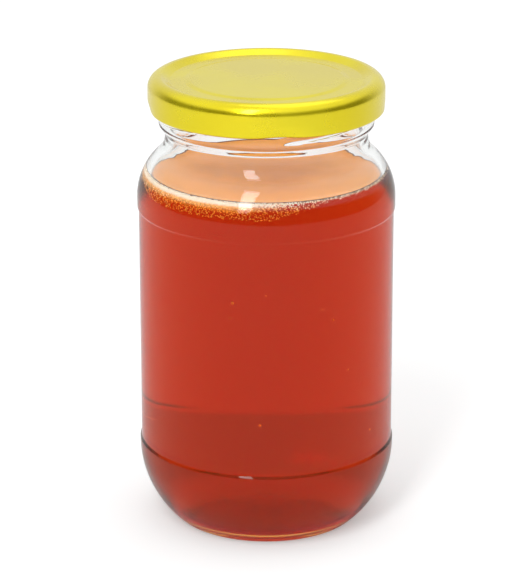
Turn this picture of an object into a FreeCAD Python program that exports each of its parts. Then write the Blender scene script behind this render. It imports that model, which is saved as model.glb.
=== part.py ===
"""A closed honey jar: a clear glass jar with rounded shoulders and heel, the honey in it, and a lug lid.

The three pieces are bodies of revolution about Z. The origin is the middle of the face that the jar
stands on, with +Z up. Each section is a list of corners (radius, height, rounding), and one function
turns such a list into straight runs joined by tangent arcs.
"""
import FreeCAD, Part
import math
import os

# ---- Driving dimensions, in millimetres and degrees --------------------------------------------

# Outside of the glass, from the table up
foot_inner_radius = 22.8      # the ring that the jar stands on
foot_outer_radius = 26.0
foot_rounding = 2.0
push_up_height = 1.8          # the hollow under the base
push_up_flat_radius = 12.0
push_up_rounding = 24.0
heel_slope_height = 9.2       # where the heel's slope would meet the upright wall
heel_rounding = 29.4
heel_height = 23.4            # top of the heel bead
body_radius = 36.4            # the heel bead and the shoulder bead, the widest rings
panel_recess = 0.4            # the label panel lies this far inside the two beads
heel_step_height = 0.8        # the step from the heel bead in to the panel
shoulder_step_height = 0.7
panel_step_rounding = 0.6
panel_height = 69.1           # from the heel bead to the shoulder bead
shoulder_bead_height = 10.4   # from the bead's lower edge to where the shoulder's slope would meet it
shoulder_rounding = 16.8
shoulder_slope_height = 7.0
neck_rounding = 6.4
neck_radius = 28.5
neck_height = 4.2             # from the foot of the neck to the finish
finish_radius = 30.2          # the wall that carries the thread
finish_step_height = 2.4
finish_step_rounding = 1.0
finish_height = 12.4          # from the step to the sealing rim
rim_rounding = 0.9

# Inside of the glass
wall_thickness = 2.3          # at the label panel
slope_wall = 2.4              # square to the shoulder's slope
heel_wall = 2.0               # square to the heel's slope
base_thickness = 2.0          # over the push-up
floor_fall = 1.1              # the floor drops this much from its middle to its corner
floor_flat_radius = 11.0
floor_rounding = 24.0
floor_corner_rounding = 6.0
inner_heel_rounding = 13.0
inner_shoulder_rounding = 13.8
inner_neck_rounding = 8.2
neck_wall = 2.3
finish_wall = 2.6             # at the mouth
mouth_rounding = 3.0

# Thread on the glass and lugs in the lid
thread_count = 4
thread_centre = 62.0          # the middle of the first thread, from the front towards +X
thread_sweep = 136.0
thread_lead_angle = 5.0
thread_low_drop = 10.0        # from the sealing rim down to the middle of a thread's low end
thread_bead_radius = 0.85
thread_ring_tightening = 2.0  # how far the bead's ring lies inside the wall, so its ends run out
thread_standing = 0.2         # how far the bead's middle stands out of the wall at its centre
lug_centre = 96.0
lug_half_width = 9.0
lug_height = 0.8
lug_lift = 0.1                # above the skirt's lower edge
lug_clearance = 0.35          # to the finish wall

# Honey
headspace = 27.3              # from the sealing rim down to the honey
honey_clearance = 0.1         # to the glass

# Lid
skirt_clearance = 2.7         # from the finish wall to the skirt's inner face
lid_metal = 0.3
rim_build = 1.1               # metal and sealing compound over the glass rim
skirt_drop = 8.4              # from the sealing rim down to the skirt's lower edge
lid_corner_rounding = 3.3
lid_crest_width = 3.8         # from the skirt's outside in to the crest of the raised rim
lid_crest_rounding = 1.8
lid_rim_width = 6.3           # from the skirt's outside in to the foot of the raised rim
lid_groove_depth = 1.25
lid_groove_rounding = 0.6
plate_inset = 11.7            # from the skirt's outside in to the flat middle of the panel
plate_slope_width = 1.5
plate_rise = 0.3
plate_rounding = 2.0
seat_setback = 0.25           # from the mouth's wall out to the compound's flat seat on the glass rim
seat_rounding = 0.3
seat_corner_rounding = 2.2
curl_width = 1.4
curl_height = 1.4
curl_rounding = 0.65
curl_neck_height = 0.7

# ---- Heights and radii worked out from them ----------------------------------------------------

panel_bottom = heel_height + heel_step_height
shoulder_bead_bottom = heel_height + panel_height
panel_top = shoulder_bead_bottom - shoulder_step_height
shoulder_corner = shoulder_bead_bottom + shoulder_bead_height
neck_bottom = shoulder_corner + shoulder_slope_height
finish_bottom = neck_bottom + neck_height + finish_step_height
jar_height = finish_bottom + finish_height
panel_radius = body_radius - panel_recess
inner_radius = panel_radius - wall_thickness
floor_height = push_up_height + base_thickness
honey_level = jar_height - headspace
lid_top = jar_height + rim_build
skirt_bottom = jar_height - skirt_drop
skirt_inner_radius = finish_radius + skirt_clearance
skirt_radius = skirt_inner_radius + lid_metal
neck_bore_radius = neck_radius - neck_wall
thread_ring_radius = finish_radius - thread_ring_tightening
mouth_radius = finish_radius - finish_wall
seat_inner_radius = mouth_radius + seat_setback
lid_crest_radius = skirt_radius - lid_crest_width
lid_groove_radius = skirt_radius - lid_rim_width
plate_radius = skirt_radius - plate_inset

UP = FreeCAD.Vector(0, 0, 1)
ALONG_X = FreeCAD.Vector(1, 0, 0)
ORIGIN = FreeCAD.Vector(0, 0, 0)
FRONT = -90                   # the direction of -Y, counted from +X


def point(radius, height):
    """A point of a section, which lies in the XZ plane."""
    return FreeCAD.Vector(radius, 0, height)


def tangent_lengths(corners):
    """How far each corner's arc reaches along its sides, cut down where a side is too short."""
    places = [point(r, z) for r, z, _ in corners]
    half_turns = [0.0] * len(corners)
    reaches = [0.0] * len(corners)
    for i in range(1, len(corners) - 1):
        before = places[i] - places[i - 1]
        after = places[i + 1] - places[i]
        half_turns[i] = before.getAngle(after) / 2
        reaches[i] = corners[i][2] * math.tan(half_turns[i])
    fitted = list(reaches)
    for i in range(len(corners) - 1):
        side = places[i].distanceToPoint(places[i + 1])
        wanted = reaches[i] + reaches[i + 1]
        if wanted > side * 0.999:
            share = side * 0.999 / wanted
            fitted[i] = min(fitted[i], reaches[i] * share)
            fitted[i + 1] = min(fitted[i + 1], reaches[i + 1] * share)
    return places, half_turns, fitted


def rounded_edges(corners):
    """Straight runs through the corners, joined by tangent arcs at each corner that has a rounding."""
    places, half_turns, reaches = tangent_lengths(corners)
    edges = []
    start = places[0]
    for i in range(1, len(corners) - 1):
        if reaches[i] < 1e-6 or half_turns[i] < 1e-6:
            arc_start = arc_end = places[i]
        else:
            back = (places[i - 1] - places[i]).normalize()
            ahead = (places[i + 1] - places[i]).normalize()
            arc_start = places[i] + back * reaches[i]
            arc_end = places[i] + ahead * reaches[i]
            radius = reaches[i] / math.tan(half_turns[i])
            to_centre = (back + ahead).normalize()
            centre_distance = radius / math.cos(half_turns[i])
            arc_middle = places[i] + to_centre * (centre_distance - radius)
        if start.distanceToPoint(arc_start) > 1e-6:
            edges.append(Part.LineSegment(start, arc_start).toShape())
        if arc_start != arc_end:
            edges.append(Part.Arc(arc_start, arc_middle, arc_end).toShape())
        start = arc_end
    edges.append(Part.LineSegment(start, places[-1]).toShape())
    return edges


def turned(corners):
    """The solid that a section makes when turned about Z. Its first and last corners lie on the axis."""
    edges = rounded_edges(corners)
    edges.append(Part.LineSegment(point(*corners[-1][:2]), point(*corners[0][:2])).toShape())
    return Part.Face(Part.Wire(edges)).revolve(ORIGIN, UP, 360)


def offset_line_height(radius, foot, head, distance):
    """The height, at a radius, of the line from foot to head once moved to its left by a distance."""
    run = head[0] - foot[0]
    rise = head[1] - foot[1]
    return foot[1] + ((radius - foot[0]) * rise + distance * math.hypot(run, rise)) / run


def outside_corners():
    """The outside of the glass, from the middle of the push-up to the middle of the mouth."""
    return [
        (0, push_up_height, 0),
        (push_up_flat_radius, push_up_height, push_up_rounding),
        (foot_inner_radius, 0, foot_rounding),
        (foot_outer_radius, 0, foot_rounding),
        (body_radius, heel_slope_height, heel_rounding),
        (body_radius, heel_height, panel_step_rounding),
        (panel_radius, panel_bottom, panel_step_rounding),
        (panel_radius, panel_top, panel_step_rounding),
        (body_radius, shoulder_bead_bottom, panel_step_rounding),
        (body_radius, shoulder_corner, shoulder_rounding),
        (neck_radius, neck_bottom, neck_rounding),
        (neck_radius, neck_bottom + neck_height, finish_step_rounding),
        (finish_radius, finish_bottom, finish_step_rounding),
        (finish_radius, jar_height, rim_rounding),
        (0, jar_height, 0),
    ]


def inside_corners(inset):
    """The hollow of the jar, drawn in by an inset, from mid floor to mid mouth."""
    heel_foot = (foot_outer_radius, 0)
    heel_head = (body_radius, heel_slope_height)
    slope_foot = (body_radius, shoulder_corner)
    slope_head = (neck_radius, neck_bottom)
    wall_radius = inner_radius - inset
    bore_radius = neck_bore_radius - inset
    top_radius = mouth_radius - inset
    shoulder_wall = slope_wall + inset
    floor = floor_height + inset
    corner_height = floor - floor_fall
    heel_corner = offset_line_height(wall_radius, heel_foot, heel_head, heel_wall + inset)
    slope_run = heel_head[0] - heel_foot[0]
    slope_rise = heel_head[1] - heel_foot[1]
    floor_corner = wall_radius - (heel_corner - corner_height) * slope_run / slope_rise
    shoulder_corner_height = offset_line_height(wall_radius, slope_foot, slope_head, shoulder_wall)
    neck_corner_height = offset_line_height(bore_radius, slope_foot, slope_head, shoulder_wall)
    return [
        (0, floor, 0),
        (floor_flat_radius, floor, floor_rounding),
        (floor_corner, corner_height, floor_corner_rounding),
        (wall_radius, heel_corner, inner_heel_rounding),
        (wall_radius, shoulder_corner_height, inner_shoulder_rounding),
        (bore_radius, neck_corner_height, inner_neck_rounding),
        (bore_radius, neck_bottom + neck_height, mouth_rounding),
        (top_radius, finish_bottom, mouth_rounding),
        (top_radius, jar_height - rim_rounding, 0),
        (top_radius + rim_rounding, jar_height, 0),
        (0, jar_height, 0),
    ]


def thread(number):
    """One thread of the finish: a round bead on a ring that is tipped by the lead angle."""
    half_sweep = thread_sweep / 2
    lead = math.radians(thread_lead_angle)
    half_rise = thread_ring_radius * math.sin(math.radians(half_sweep)) * math.sin(lead)
    ring_offset = finish_radius + thread_standing - thread_ring_radius
    bead = Part.makeTorus(thread_ring_radius, thread_bead_radius, ORIGIN, UP, -180, 180, thread_sweep)
    bead.rotate(ORIGIN, UP, -half_sweep)
    bead.rotate(ORIGIN, ALONG_X, thread_lead_angle)
    bead.translate(FreeCAD.Vector(ring_offset, 0, jar_height - thread_low_drop + half_rise))
    bead.rotate(ORIGIN, UP, FRONT + thread_centre + number * 360 / thread_count)
    return bead


def lid_corners():
    """The lid's section: over its top, down the skirt, round the curl and back underneath."""
    plate_top = lid_top - lid_groove_depth + plate_rise
    groove_top = lid_top - lid_groove_depth
    plate_edge = plate_radius + plate_slope_width
    curl_inner_radius = skirt_radius - curl_width
    curl_top = skirt_bottom + curl_height
    return [
        (0, plate_top, 0),
        (plate_radius, plate_top, plate_rounding),
        (plate_edge, groove_top, plate_rounding),
        (lid_groove_radius, groove_top, lid_groove_rounding),
        (lid_crest_radius, lid_top, lid_crest_rounding),
        (skirt_radius, lid_top, lid_corner_rounding),
        (skirt_radius, skirt_bottom, curl_rounding),
        (curl_inner_radius, skirt_bottom, curl_rounding),
        (curl_inner_radius, curl_top, curl_rounding),
        (skirt_inner_radius, curl_top + curl_neck_height, curl_rounding),
        (skirt_inner_radius, jar_height, seat_corner_rounding),
        (seat_inner_radius, jar_height, seat_rounding),
        (lid_groove_radius + lid_metal, groove_top - lid_metal, lid_groove_rounding),
        (plate_edge, groove_top - lid_metal, plate_rounding),
        (plate_radius, plate_top - lid_metal, plate_rounding),
        (0, plate_top - lid_metal, 0),
    ]


def lug(number):
    """One lug of the lid: a tab that reaches in from the curl, under the high end of a thread."""
    inner = finish_radius + lug_clearance
    outer = skirt_radius - curl_width / 2
    bottom = skirt_bottom + lug_lift
    sweep = 2 * lug_half_width
    tab = Part.makeCylinder(outer, lug_height, UP * bottom, UP, sweep)
    tab = tab.cut(Part.makeCylinder(inner, lug_height, UP * bottom, UP, 360))
    tab.rotate(ORIGIN, UP, FRONT + lug_centre - lug_half_width + number * 360 / thread_count)
    return tab


def make_jar():
    glass = turned(outside_corners())
    for number in range(thread_count):
        glass = glass.fuse(thread(number))
    return glass.cut(turned(inside_corners(0))).removeSplitter()


def make_honey():
    """The honey fills the jar's hollow up to its level, less the clearance from the glass."""
    below_level = Part.makeCylinder(body_radius * 2, honey_level, ORIGIN, UP)
    return turned(inside_corners(honey_clearance)).common(below_level)


def make_lid():
    lid = turned(lid_corners())
    for number in range(thread_count):
        lid = lid.fuse(lug(number))
    return lid.removeSplitter()


def main():
    os.makedirs("parts", exist_ok=True)
    pieces = {"jar": make_jar(), "honey": make_honey(), "lid": make_lid()}
    for name, piece in pieces.items():
        solid = piece.Solids[0]
        print(name, len(piece.Solids), piece.isValid(), round(solid.Volume / 1000, 2), "cm3")
        solid.exportStep(f"parts/{name}.step")


main()
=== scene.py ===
"""Looks of a closed honey jar: clear glass, red-amber honey with a foam edge, and a gold lacquered lug lid."""
import math

import bpy
import numpy as np
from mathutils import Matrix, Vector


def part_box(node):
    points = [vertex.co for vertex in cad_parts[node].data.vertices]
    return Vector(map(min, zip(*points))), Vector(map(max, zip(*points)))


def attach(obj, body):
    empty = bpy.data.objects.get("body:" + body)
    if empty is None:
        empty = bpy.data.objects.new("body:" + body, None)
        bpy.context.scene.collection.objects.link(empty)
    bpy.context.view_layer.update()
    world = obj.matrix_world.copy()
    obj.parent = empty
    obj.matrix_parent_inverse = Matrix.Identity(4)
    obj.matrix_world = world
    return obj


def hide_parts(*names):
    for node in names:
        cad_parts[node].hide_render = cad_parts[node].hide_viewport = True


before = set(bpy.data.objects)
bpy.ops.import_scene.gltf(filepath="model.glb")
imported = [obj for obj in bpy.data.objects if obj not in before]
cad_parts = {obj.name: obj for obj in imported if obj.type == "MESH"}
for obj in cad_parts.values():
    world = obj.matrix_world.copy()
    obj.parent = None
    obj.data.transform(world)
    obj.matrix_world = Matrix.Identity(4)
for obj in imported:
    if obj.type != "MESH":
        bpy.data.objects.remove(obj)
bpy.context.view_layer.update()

MM = 0.001

# ---- Sizes, in millimetres unless said otherwise ------------------------------------------------

_, jar_high = (np.array(corner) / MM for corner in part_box("jar"))
_, honey_high = (np.array(corner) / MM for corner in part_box("honey"))
lid_low, lid_high = (np.array(corner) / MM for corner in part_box("lid"))

BODY_RADIUS = jar_high[0]
JAR_HEIGHT = jar_high[2]
FOOT_RADIUS = 26.0
HEEL_SLOPE_HEIGHT = 9.2
PUSH_UP = 1.8                 # the hollow under the base
FLOOR_HEIGHT = PUSH_UP + 2.0
INNER_RADIUS = BODY_RADIUS - 2.7
PANEL_RADIUS = BODY_RADIUS - 0.4
HEEL_HEIGHT = 23.4
SHOULDER_BEAD = JAR_HEIGHT - 36.4
SHOULDER_CORNER = SHOULDER_BEAD + 10.4
NECK_FOOT = SHOULDER_CORNER + 7.0
NECK_TOP = NECK_FOOT + 4.2
FINISH_FOOT = NECK_TOP + 2.4
NECK_RADIUS = BODY_RADIUS - 7.9
FINISH_RADIUS = lid_high[0] - 3.0
NECK_BORE = NECK_RADIUS - 2.3
MOUTH_RADIUS = FINISH_RADIUS - 2.6
HEEL_STEP = 0.8               # height of the step from the heel bead in to the label panel
SHOULDER_STEP = 0.7
HEEL_WALL = 2.0               # square to the heel's slope
SHOULDER_WALL = 2.4

HONEY_LEVEL = honey_high[2]
HONEY_REACH = 0.4             # how far the honey's skin goes into the glass, so that no air shows
BASE_REACH = 0.7              # and how much further it goes into the thick base
MENISCUS_RISE = 0.9
MENISCUS_WIDTH = 1.6

FILM_LIFT = 0.05
FOAM_DEPTH = 3.1

THREAD_COUNT = 4
THREAD_STANDING = 1.05
THREAD_HALF_HEIGHT = 0.95
THREAD_HALF_SWEEP = 57.0      # degrees
THREAD_CENTRE = 62.0          # degrees, from the front towards +X
THREAD_MIDDLE_DROP = 7.7      # from the rim down to the middle of a thread
THREAD_LEAD = 2.45            # rise over one radian

LID_RADIUS = lid_high[0]
LID_TOP = lid_high[2]
SKIRT_BOTTOM = lid_low[2]
LID_METAL = 0.3
LUG_CENTRE = 6.0              # degrees, from the front towards +X
LUG_COUNT = 4

FRONT = -math.pi / 2          # the direction of -Y, counted from +X

GLASS_SEGMENTS = 240          # facets round each turned piece
LID_SEGMENTS = 288
FILM_SEGMENTS = 160
FROTH_SEGMENTS = 200

# ---- Camera, in metres and degrees --------------------------------------------------------------

CAMERA_PLACE = (0, -0.8, 0.3408)
CAMERA_DIP = 18.98            # how far it looks down
CAMERA_TURN = 0.00211         # radians, towards -X
CAMERA_LENS = 182.02          # millimetres, on a sensor 36 wide


# ---- Meshes ------------------------------------------------------------------------------------

def rounded(corners, spacing):
    """Points along straight runs through (radius, height, rounding) corners, with a tangent arc at each corner.

    An arc of radius q at a corner that turns by 2h leaves the sides q tan h from the corner. Where two arcs
    need more than the side between them, both are made smaller. spacing gives the distance between points
    at a height.
    """
    places = np.array([c[:2] for c in corners], float)
    sides = np.diff(places, axis=0)
    lengths = np.hypot(*sides.T)
    along = sides / lengths[:, None]
    cross = along[:-1, 0] * along[1:, 1] - along[:-1, 1] * along[1:, 0]
    half_turns = np.zeros(len(corners))
    half_turns[1:-1] = np.arctan2(cross, (along[:-1] * along[1:]).sum(1)) / 2
    reaches = np.array([c[2] for c in corners]) * np.tan(np.abs(half_turns))
    shares = np.minimum(1, 0.999 * lengths / np.maximum(reaches[:-1] + reaches[1:], 1e-9))
    reaches[:-1] *= shares
    reaches[1:] *= shares
    points = [places[:1]]
    for i in range(1, len(corners)):
        start = points[-1][-1]
        end = places[i] - along[i - 1] * reaches[i]
        count = max(1, math.ceil(np.hypot(*(end - start)) / spacing((start[1] + end[1]) / 2)))
        points.append(start + (end - start) * np.linspace(0, 1, count + 1)[1:, None])
        if reaches[i] > 1e-6:
            turn = half_turns[i]
            radius = reaches[i] / math.tan(abs(turn))
            left = np.array([-along[i - 1][1], along[i - 1][0]]) * math.copysign(1, turn)
            centre = end + left * radius
            arc_count = max(3, math.ceil(2 * radius * abs(turn) / spacing(end[1])), math.ceil(abs(turn) * 20))
            sweep = np.linspace(0, 2 * turn, arc_count + 1)[1:, None]
            out = end - centre
            across = np.array([-out[1], out[0]])
            points.append(centre + out * np.cos(sweep) + across * np.sin(sweep))
    return np.concatenate(points)


def mesh_piece(name, vertices, faces, smooth=True):
    """A mesh object at the origin, from an array of vertices in millimetres and one of faces."""
    mesh = bpy.data.meshes.new(name)
    mesh.from_pydata((np.asarray(vertices) * MM).tolist(), [], [list(map(int, f)) for f in faces])
    mesh.validate()
    mesh.polygons.foreach_set("use_smooth", np.full(len(mesh.polygons), smooth))
    mesh.update()
    piece = bpy.data.objects.new(name, mesh)
    bpy.context.scene.collection.objects.link(piece)
    return piece


def turned(name, profile, segments, relief=None):
    """A profile that starts and ends on the axis, turned about Z. relief moves a point: (radius, height, angle)
    to a new radius and height. The two ends on the axis are single vertices.
    """
    angle = np.linspace(0, 2 * math.pi, segments, endpoint=False) + FRONT
    radius, angle_grid = np.meshgrid(profile[1:-1, 0], angle, indexing="ij")
    height = np.broadcast_to(profile[1:-1, 1][:, None], radius.shape)
    if relief is not None:
        radius, height = relief(radius, height, angle_grid - FRONT)
    ring = np.stack([radius * np.cos(angle_grid), radius * np.sin(angle_grid), height], -1).reshape(-1, 3)
    poles = np.array([[0, 0, profile[0, 1]], [0, 0, profile[-1, 1]]])
    rows = len(profile) - 2
    index = np.arange(rows * segments).reshape(rows, segments)
    after = np.roll(index, -1, axis=1)
    quads = np.stack([index[:-1], after[:-1], after[1:], index[1:]], -1).reshape(-1, 4)
    first, last = rows * segments, rows * segments + 1
    bottom = np.stack([np.full(segments, first), after[0], index[0]], -1)
    top = np.stack([np.full(segments, last), index[-1], after[-1]], -1)
    return mesh_piece(name, np.concatenate([ring, poles]), [*quads, *bottom, *top])


def wave(angle, height, cycles, lift, phase):
    """A ripple that goes round the jar a whole number of times while it leans with height."""
    return np.sin(cycles * angle + height * lift + phase)


def smoothstep(low, high, value):
    """0 below low, 1 above high, and 3t^2 - 2t^3 between them."""
    t = np.clip((value - low) / (high - low), 0, 1)
    return t * t * (3 - 2 * t)


# ---- The glass ---------------------------------------------------------------------------------

def glass_outside():
    return [
        (0, PUSH_UP, 0),
        (12, PUSH_UP, 24),
        (22.8, 0, 2),
        (FOOT_RADIUS, 0, 2),
        (BODY_RADIUS, HEEL_SLOPE_HEIGHT, 29.4),
        (BODY_RADIUS, HEEL_HEIGHT, 0.6),
        (PANEL_RADIUS, HEEL_HEIGHT + HEEL_STEP, 0.6),
        (PANEL_RADIUS, SHOULDER_BEAD - SHOULDER_STEP, 0.6),
        (BODY_RADIUS, SHOULDER_BEAD, 0.6),
        (BODY_RADIUS, SHOULDER_CORNER, 16.8),
        (NECK_RADIUS, NECK_FOOT, 6.4),
        (NECK_RADIUS, NECK_TOP, 1.0),
        (FINISH_RADIUS, FINISH_FOOT, 1.0),
        (FINISH_RADIUS, JAR_HEIGHT, 0.9),
        (MOUTH_RADIUS + 0.9, JAR_HEIGHT, 0.3),
    ]


def height_beside(radius, foot, head, distance):
    """The height, at a radius, of the line from foot to head after it is moved to its left by a distance."""
    run, rise = head[0] - foot[0], head[1] - foot[1]
    return foot[1] + ((radius - foot[0]) * rise + distance * math.hypot(run, rise)) / run


def glass_inside(inset):
    """The inner wall from the floor's middle to the mouth, drawn in by an inset."""
    heel = (FOOT_RADIUS, 0), (BODY_RADIUS, HEEL_SLOPE_HEIGHT)
    shoulder = (BODY_RADIUS, SHOULDER_CORNER), (NECK_RADIUS, NECK_FOOT)
    wall, bore = INNER_RADIUS - inset, NECK_BORE - inset
    corner_height = FLOOR_HEIGHT - 1.1 + inset
    heel_corner = height_beside(wall, *heel, HEEL_WALL + inset)
    slope = (BODY_RADIUS - FOOT_RADIUS) / HEEL_SLOPE_HEIGHT
    return [
        (0, FLOOR_HEIGHT + inset, 0),
        (11, FLOOR_HEIGHT + inset, 24),
        (wall - (heel_corner - corner_height) * slope, corner_height, 6),
        (wall, heel_corner, 13),
        (wall, height_beside(wall, *shoulder, SHOULDER_WALL + inset), 13.8),
        (bore, height_beside(bore, *shoulder, SHOULDER_WALL + inset), 8.2),
        (NECK_BORE - inset, NECK_TOP, 3),
        (MOUTH_RADIUS - inset, FINISH_FOOT, 3),
        (MOUTH_RADIUS - inset, JAR_HEIGHT - 0.9, 0.3),
    ]


def wall_spacing(height):
    """Close rows where the thread stands out, wider ones on the plain wall."""
    return 0.32 if height > FINISH_FOOT else 1.1


def thread_relief(angle, height):
    """A bead along a climbing line: standing times sqrt(1 - (distance / half height)^2), faded at both ends."""
    spacing = 2 * math.pi / THREAD_COUNT
    standing = np.zeros_like(angle)
    for number in range(THREAD_COUNT):
        middle = math.radians(THREAD_CENTRE) + number * spacing
        turn = (angle - middle + math.pi) % (2 * math.pi) - math.pi
        distance = height - (JAR_HEIGHT - THREAD_MIDDLE_DROP + THREAD_LEAD * turn)
        bead = np.sqrt(np.clip(1 - (distance / THREAD_HALF_HEIGHT) ** 2, 0, None))
        fade = 1 - smoothstep(0.55, 1.0, np.abs(turn) / math.radians(THREAD_HALF_SWEEP))
        standing = np.maximum(standing, THREAD_STANDING * bead * fade)
    return standing


def glass_relief(radius, height, angle):
    """Faint ripples of a moulded wall, a few hundredths of a millimetre, and the thread on the outer wall."""
    wall = smoothstep(20, 30, radius) * smoothstep(4, 12, height)
    outer = radius > FINISH_RADIUS - 0.2
    ripple = 0.035 * wave(angle, height, 5, 0.03, 0.4) + 0.022 * wave(angle, height, 9, -0.05, 2.1)
    inner = radius < PANEL_RADIUS - 0.5
    inner_ripple = 0.05 * wave(angle, height, 4, 0.02, 1.2) + 0.03 * wave(angle, height, 7, 0.06, 0.3)
    ripple = np.where(inner, inner_ripple, ripple)
    thread = np.where(outer & (height > FINISH_FOOT + 0.6) & (height < JAR_HEIGHT - 1.5),
                      thread_relief(angle, height), 0)
    return radius + wall * ripple * (height < NECK_FOOT) + thread, height


def make_glass():
    """The outer wall from the base's middle, over the rim, and down the inner wall to the floor."""
    profile = np.concatenate([
        rounded(glass_outside(), wall_spacing),
        rounded(glass_inside(0), wall_spacing)[::-1],
    ])
    return turned("glass_wall", profile, GLASS_SEGMENTS, glass_relief)


# ---- The honey ---------------------------------------------------------------------------------

def honey_profile():
    """The inner wall's line, moved a little into the glass, up to the level, and then the surface."""
    wall = rounded(glass_inside(-HONEY_REACH), wall_spacing)
    wall[:, 1] -= BASE_REACH * (1 - smoothstep(FLOOR_HEIGHT, FLOOR_HEIGHT + 9, wall[:, 1]))
    edge_height = HONEY_LEVEL + MENISCUS_RISE
    below = wall[wall[:, 1] < edge_height]
    above = wall[wall[:, 1] >= edge_height]
    share = (edge_height - below[-1, 1]) / (above[0, 1] - below[-1, 1])
    edge = below[-1] + (above[0] - below[-1]) * share
    return np.concatenate([below, edge[None], honey_surface(edge[0] - HONEY_REACH)])


def honey_surface(contact):
    """The surface from wall to middle: it falls from the wall by rise times exp(-distance / width)."""
    distance = np.concatenate([np.linspace(0, 6, 25), np.linspace(6.5, contact, 24)])
    height = HONEY_LEVEL + MENISCUS_RISE * np.exp(-distance / MENISCUS_WIDTH)
    return np.stack([contact - distance, height], -1)


def make_honey():
    return turned("honey_fill", honey_profile(), GLASS_SEGMENTS)


# ---- The lid -----------------------------------------------------------------------------------

def lid_section():
    """Over the lid's top from its middle, down the skirt, round the rolled edge and back along its inside."""
    crest = LID_RADIUS - 3.8
    groove = LID_RADIUS - 6.3
    plate = LID_RADIUS - 11.7
    groove_top = LID_TOP - 1.25
    roll = LID_RADIUS - 1.5
    inside = LID_RADIUS - LID_METAL
    return [
        (0, groove_top + 0.3, 0),
        (plate, groove_top + 0.3, 2),
        (plate + 1.5, groove_top, 2),
        (groove, groove_top, 0.6),
        (crest, LID_TOP, 1.8),
        (LID_RADIUS, LID_TOP, 3.3),
        (LID_RADIUS, SKIRT_BOTTOM, 0.7),
        (roll, SKIRT_BOTTOM, 0.7),
        (roll, SKIRT_BOTTOM + 1.4, 0.6),
        (inside, SKIRT_BOTTOM + 2.1, 0.6),
        (inside, LID_TOP - 1.1, 2.2),
        (groove + 0.4, LID_TOP - 1.1, 0.5),
        (groove, groove_top - LID_METAL, 0.5),
        (plate + 1.5, groove_top - LID_METAL, 2),
        (plate, groove_top + 0.3 - LID_METAL, 2),
        (0, groove_top + 0.3 - LID_METAL, 0),
    ]


def lid_relief(radius, height, angle):
    """The rolled edge is pressed in and up at each lug, and the skirt is a little out of true."""
    spacing = 2 * math.pi / LUG_COUNT
    turn = (angle - math.radians(LUG_CENTRE) + spacing / 2) % spacing - spacing / 2
    lug = np.exp(-(turn / 0.17) ** 2)
    low = 1 - smoothstep(0, 3.2, height - SKIRT_BOTTOM)
    skirt = smoothstep(LID_RADIUS - 4, LID_RADIUS - 1, radius)
    in_press = -0.55 * lug * low * skirt
    roll_in = -1.0 * lug * low * (radius < LID_RADIUS - 1.2) * skirt
    lift = 0.38 * lug * low * skirt
    true = skirt * (0.05 * wave(angle, height, 3, 0, 0.6) + 0.03 * wave(angle, height, 8, 0.1, 1.9))
    return radius + in_press + roll_in + true - 0.08 * skirt, height + lift


def make_lid():
    """The section runs down the outside, so it is taken backwards to turn its faces out."""
    profile = rounded(lid_section(), lambda height: 0.8)[::-1]
    return turned("lid_cap", profile, LID_SEGMENTS, lid_relief)


# ---- Foam and bubbles --------------------------------------------------------------------------

def sphere_template(rings, segments):
    """Unit sphere on a grid of latitude and longitude, with single vertices at its poles."""
    latitude = np.linspace(-math.pi / 2, math.pi / 2, rings + 1)[1:-1]
    longitude = np.linspace(0, 2 * math.pi, segments, endpoint=False)
    lat, lon = np.meshgrid(latitude, longitude, indexing="ij")
    ring = np.stack([np.cos(lat) * np.cos(lon), np.cos(lat) * np.sin(lon), np.sin(lat)], -1).reshape(-1, 3)
    vertices = np.concatenate([ring, [[0, 0, -1], [0, 0, 1]]])
    rows = rings - 1
    index = np.arange(rows * segments).reshape(rows, segments)
    after = np.roll(index, -1, axis=1)
    quads = np.stack([index[:-1], after[:-1], after[1:], index[1:]], -1).reshape(-1, 4)
    bottom = np.stack([np.full(segments, len(vertices) - 2), after[0], index[0]], -1)
    top = np.stack([np.full(segments, len(vertices) - 1), index[-1], after[-1]], -1)
    return vertices, [*quads, *bottom, *top]


def scattered_spheres(name, centres, radii, rings=5, segments=8):
    """One mesh with a small sphere at each centre."""
    vertices, faces = sphere_template(rings, segments)
    cloud = centres[:, None, :] + vertices[None] * radii[:, None, None]
    count = len(vertices)
    all_faces = [[v + k * count for v in f] for k in range(len(centres)) for f in faces]
    return mesh_piece(name, cloud.reshape(-1, 3), all_faces)


def wall_radius_at(height):
    """Radius of the inner wall at a height."""
    wall = rounded(glass_inside(0), lambda z: 0.4)
    return np.interp(height, wall[:, 1], wall[:, 0])


def foam_share(angle):
    """How thick the foam lies round the edge: full from the left to the front, thinning out to the right."""
    turn = (angle + math.pi) % (2 * math.pi) - math.pi
    full = smoothstep(-1.75, -1.1, turn) * (1 - smoothstep(-0.05, 0.62, turn))
    return 0.12 + 0.88 * full


def make_foam():
    """Small bubbles against the wall under the surface: their depth falls off as a cubed random number."""
    rng = np.random.default_rng(7)
    count = 12000
    angle = rng.uniform(-math.pi, math.pi, count)
    keep = rng.uniform(0, 1, count) < foam_share(angle)
    angle = angle[keep]
    depth = FOAM_DEPTH * 1.4 * foam_share(angle) * rng.uniform(0, 1, len(angle)) ** 3
    height = HONEY_LEVEL + 0.5 - depth
    radii = rng.uniform(0.07, 0.2, len(angle)) * (1 - 0.04 * depth)
    away = radii * 0.7 + rng.uniform(0, 0.8, len(angle)) ** 2
    radius = wall_radius_at(height) - away
    turn = angle + FRONT
    centres = np.stack([radius * np.cos(turn), radius * np.sin(turn), height], -1)
    return scattered_spheres("edge_foam", centres, radii, 3, 6)


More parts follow.
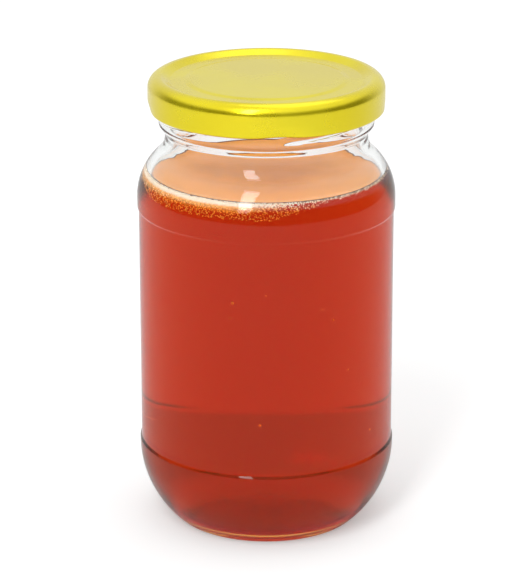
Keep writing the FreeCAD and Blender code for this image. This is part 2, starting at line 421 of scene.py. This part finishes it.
def make_collar():
    """A band of froth too fine to see bubbles in, a little inside the wall, from the surface down."""
    height = HONEY_LEVEL + MENISCUS_RISE - np.linspace(0, FOAM_DEPTH, 16)
    angle = np.linspace(0, 2 * math.pi, FROTH_SEGMENTS, endpoint=False)
    level, turn = np.meshgrid(height, angle, indexing="ij")
    radius = wall_radius_at(level) - 0.22
    ring = np.stack([radius * np.cos(turn), radius * np.sin(turn), level], -1).reshape(-1, 3)
    index = np.arange(ring.shape[0]).reshape(level.shape)
    after = np.roll(index, -1, axis=1)
    quads = np.stack([index[1:], after[1:], after[:-1], index[:-1]], -1).reshape(-1, 4)
    return mesh_piece("foam_collar", ring, quads)


def make_film():
    """A thin skin of the finest foam, which lies just over the honey's surface."""
    contact = wall_radius_at(HONEY_LEVEL + MENISCUS_RISE)
    skin = honey_surface(contact)[1:] + [0, FILM_LIFT]
    skin[-1, 0] = 0
    angle = np.linspace(0, 2 * math.pi, FILM_SEGMENTS, endpoint=False)
    radius, turn = np.meshgrid(skin[:-1, 0], angle, indexing="ij")
    height = np.broadcast_to(skin[:-1, 1][:, None], radius.shape)
    ring = np.stack([radius * np.cos(turn), radius * np.sin(turn), height], -1).reshape(-1, 3)
    rows = len(skin) - 1
    index = np.arange(rows * FILM_SEGMENTS).reshape(rows, FILM_SEGMENTS)
    after = np.roll(index, -1, axis=1)
    quads = np.stack([index[:-1], after[:-1], after[1:], index[1:]], -1).reshape(-1, 4)
    middle = np.stack([np.full(FILM_SEGMENTS, rows * FILM_SEGMENTS), index[-1], after[-1]], -1)
    return mesh_piece("surface_film", np.concatenate([ring, [[0, 0, skin[-1, 1]]]]), [*quads, *middle])


def make_specks():
    """A few stray bubbles in the honey, near the wall."""
    rng = np.random.default_rng(11)
    count = 14
    angle = rng.uniform(-math.pi, math.pi, count)
    height = rng.uniform(12, HONEY_LEVEL - 8, count)
    radius = wall_radius_at(height) - rng.uniform(0.8, 9, count)
    radii = rng.uniform(0.12, 0.3, count)
    marked_angle = np.radians([-16.0, -3.0])
    marked_height = np.array([74.0, 38.5])
    angle = np.concatenate([angle, marked_angle])
    height = np.concatenate([height, marked_height])
    radius = np.concatenate([radius, wall_radius_at(marked_height) - 0.9])
    radii = np.concatenate([radii, [0.42, 0.36]])
    turn = angle + FRONT
    centres = np.stack([radius * np.cos(turn), radius * np.sin(turn), height], -1)
    return scattered_spheres("stray_bubbles", centres, radii, 8, 12)


# ---- Shader expressions ------------------------------------------------------------------------

class Value:
    """A shader socket that adds Math nodes when it is used in an expression."""

    def __init__(self, shader, socket):
        self.shader = shader
        self.socket = socket

    def __add__(self, other):
        return self.shader.math("ADD", self, other)

    def __radd__(self, other):
        return self.shader.math("ADD", other, self)

    def __sub__(self, other):
        return self.shader.math("SUBTRACT", self, other)

    def __rsub__(self, other):
        return self.shader.math("SUBTRACT", other, self)

    def __mul__(self, other):
        return self.shader.math("MULTIPLY", self, other)

    def __rmul__(self, other):
        return self.shader.math("MULTIPLY", other, self)

    def __truediv__(self, other):
        return self.shader.math("DIVIDE", self, other)

    def __pow__(self, other):
        return self.shader.math("POWER", self, other)


class Shader:
    """The nodes of one material or world."""

    def __init__(self, owner):
        owner.use_nodes = True
        self.tree = owner.node_tree
        self.tree.nodes.clear()

    def add(self, kind, settings=None, **sockets):
        """A node: its settings are set first, then its sockets, whose names have _ for a space."""
        node = self.tree.nodes.new(kind)
        for key, value in (settings or {}).items():
            setattr(node, key, value)
        for key, value in sockets.items():
            self.put(node.inputs[key.replace("_", " ")], value)
        return node

    def put(self, socket, value):
        """Links a value to a socket, or sets the socket to a plain number or colour."""
        if isinstance(value, Value):
            self.tree.links.new(value.socket, socket)
        elif isinstance(value, bpy.types.NodeSocket):
            self.tree.links.new(value, socket)
        else:
            socket.default_value = value

    def math(self, operation, a, b):
        node = self.add("ShaderNodeMath", {"operation": operation})
        self.put(node.inputs[0], a)
        self.put(node.inputs[1], b)
        return Value(self, node.outputs[0])

    def ramp(self, value, low, high):
        """0 below low, 1 above high, smooth between."""
        node = self.add("ShaderNodeMapRange", {"interpolation_type": "SMOOTHSTEP"},
                        Value=value, From_Min=low, From_Max=high)
        return Value(self, node.outputs["Result"])

    def mix(self, share, a, b):
        """Colour a where share is 0 and colour b where it is 1."""
        node = self.add("ShaderNodeMix", {"data_type": "RGBA"})
        self.put(node.inputs[0], share)
        self.put(node.inputs[6], a)
        self.put(node.inputs[7], b)
        return node.outputs[2]

    def position(self):
        """Object coordinates, as separate values in metres."""
        place = self.add("ShaderNodeTexCoord").outputs["Object"]
        split = self.add("ShaderNodeSeparateXYZ", Vector=place)
        return place, [Value(self, split.outputs[axis]) for axis in "XYZ"]

    def noise(self, place, scale, detail=3.0, roughness=0.5):
        node = self.add("ShaderNodeTexNoise", Vector=place, Scale=scale, Detail=detail, Roughness=roughness)
        return Value(self, node.outputs["Fac"])

    def bump(self, height, distance):
        node = self.add("ShaderNodeBump", Height=height, Distance=distance, Strength=1.0)
        return node.outputs["Normal"]

    def principled(self, **sockets):
        return self.add("ShaderNodeBsdfPrincipled", None, **sockets).outputs["BSDF"]

    def output(self, surface, volume=None):
        node = self.add("ShaderNodeOutputMaterial", None, Surface=surface)
        if volume is not None:
            self.tree.links.new(volume, node.inputs["Volume"])


def new_material(name):
    material = bpy.data.materials.new(name)
    return material, Shader(material)


# ---- Materials ---------------------------------------------------------------------------------

def clear_glass():
    """Clear soda-lime glass: a faint green in its depth, barely uneven, and amber up to the level, where honey
    lies against it. Its index is low because a wall with honey behind it shines from one face only.
    """
    material, s = new_material("clear_glass")
    place, (_, _, z) = s.position()
    cloud = s.noise(place, 45.0)
    tint = s.mix(s.ramp(cloud, 0.35, 0.65), (0.985, 0.995, 0.99, 1), (1, 1, 1, 1))
    wet = 1 - s.ramp(z, (HONEY_LEVEL - 0.6) * MM, HONEY_LEVEL * MM)
    tint = s.mix(wet, tint, (1.0, 0.50, 0.10, 1))
    skin = s.bump(s.noise(place, 60.0, 1.0), 0.00008)
    surface = s.principled(Base_Color=tint, Roughness=0.0, IOR=1.3, Transmission_Weight=1.0, Normal=skin)
    depth = s.add("ShaderNodeVolumeAbsorption", None, Color=(0.5, 0.88, 0.66, 1), Density=4.0)
    s.output(surface, depth.outputs["Volume"])
    return material


def clear_honey():
    """Clear honey: light loses most blue, then green, over its way through. From about 4 to 23 mm up, over the
    heel, it is tinted darker: painted shade.
    """
    material, s = new_material("clear_honey")
    place, (_, _, z) = s.position()
    cloud = s.noise(place, 30.0)
    # painted shade: the honey is tinted darker from about 4 to 23 mm up, over the heel
    heel_shade = s.ramp(z, 0.0035, 0.0055) * (1 - s.ramp(z, 0.0222, 0.0242))
    tint = s.mix(cloud, (1.0, 0.97, 0.93, 1), (1, 1, 1, 1))
    tint = s.mix(heel_shade, tint, (0.58, 0.48, 0.45, 1))
    surface = s.principled(Base_Color=tint, Roughness=0.12, IOR=1.34, Specular_IOR_Level=0.0,
                           Transmission_Weight=1.0)
    depth = s.add("ShaderNodeVolumeAbsorption", None, Color=(0.960, 0.81, 0.0, 1), Density=260.0)
    s.output(surface, depth.outputs["Volume"])
    return material


def pale_foam():
    """Fine foam: pale bubbles with a warm cast that changes a little from place to place, and a faint glow of
    painted light.
    """
    material, s = new_material("pale_foam")
    place, _ = s.position()
    cloud = s.noise(place, 260.0)
    tint = s.mix(s.ramp(cloud, 0.3, 0.7), (1.0, 0.80, 0.72, 1), (1.0, 0.95, 0.96, 1))
    # painted light: the foam glows a little, standing in for light that reaches it through the glass
    surface = s.principled(Base_Color=tint, Roughness=0.3, Emission_Color=tint, Emission_Strength=0.3)
    s.output(surface)
    return material


def amber_bubble():
    """A bubble well inside the honey takes the honey's colour: orange, a little lighter on some than on others.
    It also glows a little: painted light.
    """
    material, s = new_material("amber_bubble")
    place, _ = s.position()
    tint = s.mix(s.noise(place, 90.0), (1.0, 0.30, 0.08, 1), (1.0, 0.62, 0.35, 1))
    # painted light: the bubbles glow a little, though they are no lamp
    surface = s.principled(Base_Color=tint, Roughness=0.3, Emission_Color=tint, Emission_Strength=0.15)
    s.output(surface)
    return material


def fine_froth():
    """Fine froth: near white, thick at the surface and on the left, ragged and thin below and to the right.
    Its upper edge, where the honey climbs the wall, is a thin dark line of painted shade, and the froth glows a
    little: painted light.
    """
    material, s = new_material("fine_froth")
    place, (x, y, z) = s.position()
    tint = s.mix(s.noise(place, 200.0), (1.0, 0.84, 0.80, 1), (1.0, 0.96, 1.0, 1))
    far = (x * x + y * y) ** 0.5
    share = s.ramp((-0.77 * x - 0.64 * y) / far, 0.3, 0.85)
    depth = (HONEY_LEVEL + MENISCUS_RISE) * MM - z
    ragged = s.noise(place, 1300.0, 4.0, 0.7)
    cover = s.ramp(1.1 * share - depth / (FOAM_DEPTH * MM) + 1.2 * (ragged - 0.5), -0.1, 1.0)
    # painted shade: a thin dark line along the froth's upper edge, where the honey climbs the wall
    edge = 1 - s.ramp(depth, 0.0003, 0.0007)
    tint = s.mix(edge, tint, (0.10, 0.035, 0.01, 1))
    # painted light: the froth glows a little, though it is no lamp
    surface = s.principled(Base_Color=tint, Roughness=0.4, Alpha=s.math("MAXIMUM", cover, edge),
                           Emission_Color=tint, Emission_Strength=0.45)
    s.output(surface)
    return material


def peach_film():
    """A cloudy skin on the honey: peach, thicker and thinner in soft patches. It is darker and browner towards
    the middle, has a thin dark ring of painted shade at its edge, and glows a little: painted light.
    """
    material, s = new_material("peach_film")
    place, (x, y, _) = s.position()
    cloud = s.noise(place, 55.0)
    far = (x * x + y * y) ** 0.5
    # darker and browner towards the middle: partly thinner foam there, partly painted shade under the lid
    outer = s.ramp(far + 0.02 * (cloud - 0.5), 0.006, 0.026)
    tint = s.mix(outer, (0.80, 0.29, 0.01, 1), (1.0, 0.38, 0.035, 1))
    # painted shade: a thin dark ring where the honey climbs the wall
    rim = s.ramp(far, 0.0312, 0.0318) * (1 - s.ramp(far, 0.0326, 0.0333))
    tint = s.mix(0.85 * rim, tint, (0.22, 0.06, 0.01, 1))
    # painted light: the skin glows a little, though it is no lamp
    surface = s.principled(Base_Color=tint, Roughness=0.12, IOR=1.33, Alpha=0.75 + 0.25 * cloud,
                           Emission_Color=tint, Emission_Strength=0.3)
    s.output(surface)
    return material


def gold_lacquer():
    """Gold lacquer over tinplate: yellow metal under a clear coat, with faint scuffs and dull patches."""
    material, s = new_material("gold_lacquer")
    place, _ = s.position()
    cloud = s.noise(place, 38.0, 4.0)
    grain = s.noise(place, 900.0, 2.0)
    patch = s.ramp(cloud, 0.35, 0.68)
    gold = s.mix(patch, (0.80, 0.66, 0.004, 1), (0.86, 0.74, 0.012, 1))
    rough = 0.20 + 0.10 * patch + 0.06 * grain
    skin = s.bump(0.7 * s.noise(place, 110.0, 2.0) + 0.3 * grain, 0.00006)
    surface = s.principled(Base_Color=gold, Metallic=0.8, Roughness=rough, Coat_Weight=0.35,
                           Coat_Roughness=0.12, Normal=skin)
    s.output(surface)
    return material


# ---- Stage, light and camera -------------------------------------------------------------------

def white_room():
    """White all round for the eye and for light that has come through the glass. What shines back sees a room
    that is dim in front, with a bright back and ceiling.
    """
    world = bpy.data.worlds.new("white_room")
    bpy.context.scene.world = world
    s = Shader(world)
    way = s.add("ShaderNodeTexCoord").outputs["Generated"]
    split = s.add("ShaderNodeSeparateXYZ", Vector=way)
    y, z = (Value(s, split.outputs[axis]) for axis in "YZ")
    path = s.add("ShaderNodeLightPath")
    eye, shine, through = (
        Value(s, path.outputs[name]) for name in ("Is Camera Ray", "Is Glossy Ray", "Is Transmission Ray"))
    back = s.ramp(y, 0.2, 0.85)
    ceiling = s.ramp(z, 0.3, 0.65)
    mirrored = 0.05 + 0.76 * back + 0.95 * ceiling * (1 - back)
    soft = 0.8
    white = s.math("MAXIMUM", eye, through)
    level = white + (1 - white) * (shine * mirrored + (1 - shine) * soft)
    background = s.add("ShaderNodeBackground", None, Color=(1, 1, 1, 1), Strength=level)
    output = s.add("ShaderNodeOutputWorld", None)
    s.tree.links.new(background.outputs[0], output.inputs["Surface"])


def white_paper():
    """Matt white paper that keeps the jar's shadow. Light that has come through the glass sees it as the same
    white as the background, and what shines back sees it as the lamps light it.
    """
    material, s = new_material("white_paper")
    place, _ = s.position()
    path = s.add("ShaderNodeLightPath")
    shine, through = (Value(s, path.outputs[name]) for name in ("Is Glossy Ray", "Is Transmission Ray"))
    cloud = s.noise(place, 4.0)
    matt = s.mix(through, (0.82, 0.82, 0.82, 1), (0.0, 0.0, 0.0, 1))
    surface = s.principled(Base_Color=matt, Roughness=0.95 + 0.04 * cloud, Specular_IOR_Level=0.0)
    level = 0.97 * through + 0.28 * (1 - through) * (1 - shine)
    glow = s.add("ShaderNodeEmission", None, Color=(1, 1, 1, 1), Strength=level)
    both = s.add("ShaderNodeAddShader", None)
    s.tree.links.new(surface, both.inputs[0])
    s.tree.links.new(glow.outputs[0], both.inputs[1])
    s.output(both.outputs[0])
    return material


def make_floor():
    size = 3000
    corners = np.array([[-size, -size, 0], [size, -size, 0], [size, size, 0], [-size, size, 0]]) / 2
    floor = mesh_piece("paper_floor", corners, [[0, 1, 2, 3]], smooth=False)
    floor.data.materials.append(white_paper())


def softbox(name, azimuth, elevation, distance, size, radiance):
    """A rectangular lamp that faces the jar's middle. Its power gives the wanted radiance: watts = radiance
    times pi times area. Azimuth is from the front towards +X, in degrees.
    """
    lamp = bpy.data.lights.new(name, "AREA")
    lamp.shape = "RECTANGLE"
    lamp.size, lamp.size_y = size
    lamp.energy = radiance * math.pi * size[0] * size[1]
    turn, lift = math.radians(azimuth) + FRONT, math.radians(elevation)
    aim = np.array([0, 0, 0.09])
    way = np.array([math.cos(turn) * math.cos(lift), math.sin(turn) * math.cos(lift), math.sin(lift)])
    holder = bpy.data.objects.new(name, lamp)
    holder.location = aim + way * distance
    holder.rotation_euler = (math.pi / 2 - lift, 0, turn - FRONT)
    bpy.context.scene.collection.objects.link(holder)


def make_camera():
    """0.8 m in front of the jar, looking down at it by 19 degrees."""
    camera = bpy.data.cameras.new("camera")
    camera.sensor_width = 36.0
    camera.lens = CAMERA_LENS
    holder = bpy.data.objects.new("camera", camera)
    holder.location = CAMERA_PLACE
    holder.rotation_euler = (math.radians(90 - CAMERA_DIP), 0, CAMERA_TURN)
    bpy.context.scene.collection.objects.link(holder)
    bpy.context.scene.camera = holder


# ---- Putting it together -----------------------------------------------------------------------

def place(piece, material, slot, *nodes):
    piece.data.materials.append(material)
    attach(piece, "root")
    if nodes:
        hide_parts(*nodes)


glass_finish = clear_glass()
honey_finish = clear_honey()
foam_finish = pale_foam()
lid_finish = gold_lacquer()
place(make_glass(), glass_finish, "glass", "jar")
place(make_honey(), honey_finish, "honey", "honey")
place(make_foam(), foam_finish, "honey")
place(make_collar(), fine_froth(), "honey")
place(make_specks(), amber_bubble(), "honey")
place(make_film(), peach_film(), "honey")
place(make_lid(), lid_finish, "lacquered_tinplate", "lid")

make_floor()
white_room()
softbox("window", azimuth=-20, elevation=40, distance=1.3, size=(0.26, 0.95), radiance=9.0)
softbox("ceiling", azimuth=150, elevation=72, distance=1.4, size=(0.9, 0.9), radiance=0.7)
make_camera()

scene = bpy.context.scene
scene.view_settings.view_transform = "Standard"
scene.cycles.max_bounces = 24
scene.cycles.transmission_bounces = 24
scene.cycles.glossy_bounces = 16
